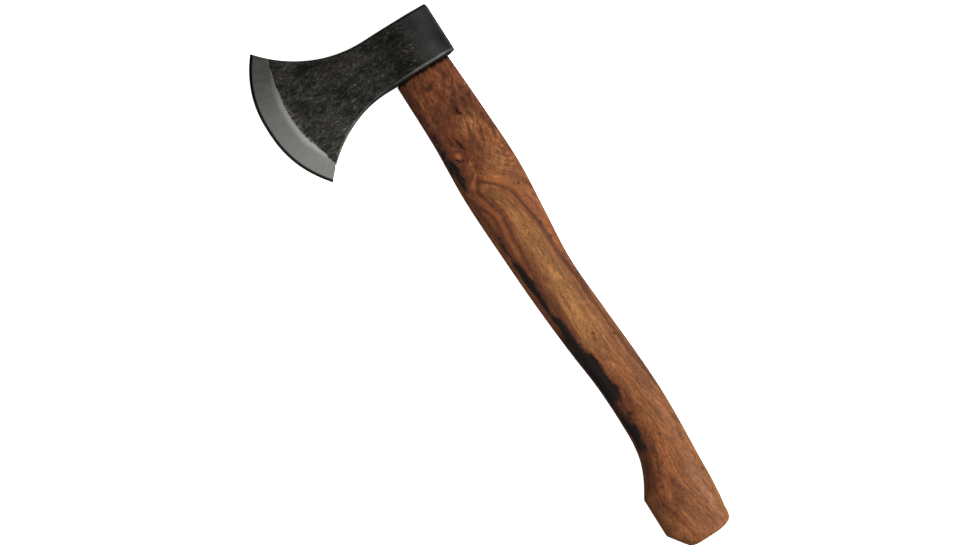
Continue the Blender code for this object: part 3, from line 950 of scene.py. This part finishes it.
def varnished_wood():
    g = Graph("figured_hardwood")
    place = g.attribute("place")
    grain = g.attribute("grain")
    knot = g.attribute("knot", "Fac")
    x, _, _ = g.split(place)
    _, rings, _ = g.split(grain)
    lines = g.noise(grain, (0.030, 1.7, 0.4), 3.0, 0.65, 0.3)
    fibres = g.noise(grain, (0.22, 5.5, 3.0), 3.0, 0.65)
    figure = g.noise(grain, (0.045, 0.30, 0.3), 5.0, 0.70, 0.8)
    pores = g.smooth(g.noise(grain, (0.35, 4.6, 2.6), 1.0, 0.5), 0.64, 0.71)
    mottle = g.noise(place, (0.13, 0.22, 0.2), 6.0, 0.68, 0.5)
    flecks = g.noise(place, (0.42, 0.80, 0.8), 5.0, 0.75, 0.5)
    black = blackness(g, place, knot, mottle, flecks)
    pits = pin_holes(g, place)

    colour = tinted_wood(g, x, grain, lines, mottle)
    colour = g.shaded(colour, g.linear(figure, 0.34, 0.66, 1.38, 0.56))
    colour = g.shaded(colour, marbling(g, place))
    outline = g.outside(g.smooth(g.math("ABSOLUTE", rings), 0.2, 1.6))
    colour = g.mix(colour, FLAME_OUTLINE, g.times(outline, g.smooth(flecks, 0.24, 0.56), 0.8))
    fine = g.plus(g.times(fibres, 0.5), g.times(flecks, 0.5))
    colour = g.shaded(colour, g.linear(fine, 0.34, 0.66, 0.42, 1.58))
    colour = g.mix(colour, PORE, g.times(pores, 0.7))
    colour = g.mix(colour, DARKENED, g.times(g.smooth(black, 0.16, 0.50), 0.7))
    # The black here is the mineral streak and also the painted shadow under the head.
    colour = g.mix(colour, MINERAL_AND_PAINTED_SHADOW_BLACK, g.times(g.smooth(black, 0.36, 0.78), 0.96))
    heart = g.times(g.outside(g.smooth(knot, 0.45, 1.05)), g.linear(lines, 0.32, 0.66, 0.50, 0.95))
    colour = g.mix(colour, KNOT_HEART, heart)
    colour = g.mix(colour, PIT, g.times(pits, 0.85))

    dull_butt = g.times(g.smooth(x, -335.0, -360.0), 0.12)
    rough = g.plus(g.linear(mottle, 0.3, 0.7, 0.36, 0.46), dull_butt)
    rough = g.minus(rough, g.times(g.smooth(black, 0.40, 0.80), 0.14))
    relief = g.plus(g.times(fibres, 0.25), g.times(lines, 0.3))
    relief = g.minus(relief, g.plus(g.times(pores, 0.5), pits))
    return g.finish(Base_Color=colour, Roughness=rough, Normal=g.bump(relief, WOOD_RELIEF),
                    Specular_IOR_Level=0.10)


# ---------------------------------------------------------------- the wedges

def plain_wood():
    g = Graph("plain_hardwood")
    lines = g.noise(g.attribute("place"), (1.5, 0.10, 3.0), 3.0, 0.6)
    colour = g.mix((0.22, 0.11, 0.045), (0.40, 0.24, 0.11), g.smooth(lines, 0.3, 0.7))
    return g.finish(Base_Color=colour, Roughness=0.62, Normal=g.bump(lines, 0.0001))


def wedge_metal():
    g = Graph("wedge_metal")
    mottle = g.noise(g.attribute("place"), (0.8, 0.8, 0.8), 4.0, 0.65)
    colour = g.mix((0.10, 0.085, 0.07), (0.36, 0.35, 0.33), g.smooth(mottle, 0.35, 0.65))
    rough = g.linear(mottle, 0.3, 0.7, 0.5, 0.34)
    return g.finish(Base_Color=colour, Roughness=rough, Metallic=1.0, Normal=g.bump(mottle, 0.00015))


# ---------------------------------------------------------------- stage, in metres

FLOOR_SIZE = 6.0
FLOOR_DROP = 0.0005
KEY_FROM = (-0.40, -0.58, 0.71)
KEY_AWAY = 1.6
KEY_SIZE = 0.8
KEY_POWER = 36.0

# Broad soft lights: where from, where in degrees off that they end and are full, how strong.
HIGH_PANEL = ((-0.50, 0.45, 0.74), 50, 32, 0.92)
FRONT_RIM = ((0.10, 0.96, 0.25), 65, 15, 0.74)
BACK_RIM = ((-0.10, -0.97, 0.05), 60, 15, 0.75)
# The dim sky: where it is brightest, the range of its fall, and how strong at the ends of that.
SKY = ((-0.2, -0.6, 0.7), -0.2, 0.9, 0.07, 0.20)

CAMERA_TILT = radians(12.0)
CAMERA_TURN = radians(57.5)
CAMERA_AIM = (-139.6, 60.8, 0.0)
CAMERA_AWAY = 2.3333
LENS = 128.8


def make_floor():
    bpy.ops.mesh.primitive_plane_add(size=FLOOR_SIZE, location=(0, 0, -FLOOR_DROP))
    floor = bpy.context.object
    floor.name = "floor"
    paper = Graph("pale_floor").finish(
        Base_Color=(0.85, 0.85, 0.85), Roughness=0.9, Emission_Color=(1.0, 1.0, 1.0),
        Emission_Strength=0.85)
    floor.data.materials.append(paper)
    floor.visible_glossy = False
    floor.visible_diffuse = False


def make_key_light():
    data = bpy.data.lights.new("key", "AREA")
    data.shape = "DISK"
    data.size = KEY_SIZE
    data.energy = KEY_POWER
    light = bpy.data.objects.new("key", data)
    direction = Vector(KEY_FROM).normalized()
    light.location = Vector((0, 0, MIDDLE_Z * MM)) + direction * KEY_AWAY
    light.rotation_euler = direction.to_track_quat("Z", "Y").to_euler()
    bpy.context.scene.collection.objects.link(light)


def make_world():
    """A dim studio with one broad soft light high up, a rim light at the front and at the back."""
    world = bpy.data.worlds.new("studio")
    world.use_nodes = True
    nodes, links = world.node_tree.nodes, world.node_tree.links
    where = nodes.new("ShaderNodeTexCoord")

    def facing(direction, low, high, start, end):
        dot = nodes.new("ShaderNodeVectorMath")
        dot.operation = "DOT_PRODUCT"
        dot.inputs[1].default_value = Vector(direction).normalized()
        links.new(where.outputs["Generated"], dot.inputs[0])
        ramp = nodes.new("ShaderNodeMapRange")
        ramp.interpolation_type = "SMOOTHSTEP"
        for key, value in (("From Min", low), ("From Max", high), ("To Min", start), ("To Max", end)):
            ramp.inputs[key].default_value = value
        links.new(dot.outputs["Value"], ramp.inputs["Value"])
        return ramp.outputs["Result"]

    strength = facing(*SKY)
    for direction, ends_at, full_at, power in (HIGH_PANEL, FRONT_RIM, BACK_RIM):
        lit = facing(direction, cos(radians(ends_at)), cos(radians(full_at)), 0.0, power)
        total = nodes.new("ShaderNodeMath")
        total.operation = "ADD"
        links.new(strength, total.inputs[0])
        links.new(lit, total.inputs[1])
        strength = total.outputs[0]
    background = nodes["Background"]
    background.inputs["Color"].default_value = (1, 1, 1, 1)
    links.new(strength, background.inputs["Strength"])
    bpy.context.scene.world = world


def make_camera():
    """Looks down on the side of the hatchet, tilted about the haft to show some of its front."""
    back = Vector((0, sin(CAMERA_TILT), cos(CAMERA_TILT)))
    down_haft = Vector((-1, 0, 0))
    to_edge = Vector((0, cos(CAMERA_TILT), -sin(CAMERA_TILT)))
    right = down_haft * cos(CAMERA_TURN) - to_edge * sin(CAMERA_TURN)
    up = -down_haft * sin(CAMERA_TURN) - to_edge * cos(CAMERA_TURN)
    aim = Vector(to_world([CAMERA_AIM])[0])
    data = bpy.data.cameras.new("camera")
    data.sensor_width = 36.0
    data.lens = LENS
    data.clip_start, data.clip_end = 0.05, 20.0
    camera = bpy.data.objects.new("camera", data)
    turned = Matrix((right, up, back)).transposed()
    camera.matrix_world = Matrix.Translation(aim + back * CAMERA_AWAY) @ turned.to_4x4()
    bpy.context.scene.collection.objects.link(camera)
    bpy.context.scene.camera = camera


def dress(thing, material, node):
    """Gives a piece its material and smooth shading, ties it to the root body, and hides the CAD part
    that it stands for.
    """
    thing.data.materials.clear()
    thing.data.materials.append(material)
    thing.data.shade_smooth()
    thing.data.set_sharp_from_angle(angle=radians(35))
    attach(thing, "root")
    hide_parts(node)


make_camera()
make_floor()
make_world()
make_key_light()
dress(make_head(), forged_steel(), "axe_head")
dress(make_haft(), varnished_wood(), "haft")
dress(make_wood_wedge(), plain_wood(), "wood_wedge")
dress(make_steel_wedge(), wedge_metal(), "steel_wedge")
bpy.context.scene.view_settings.view_transform = "Standard"
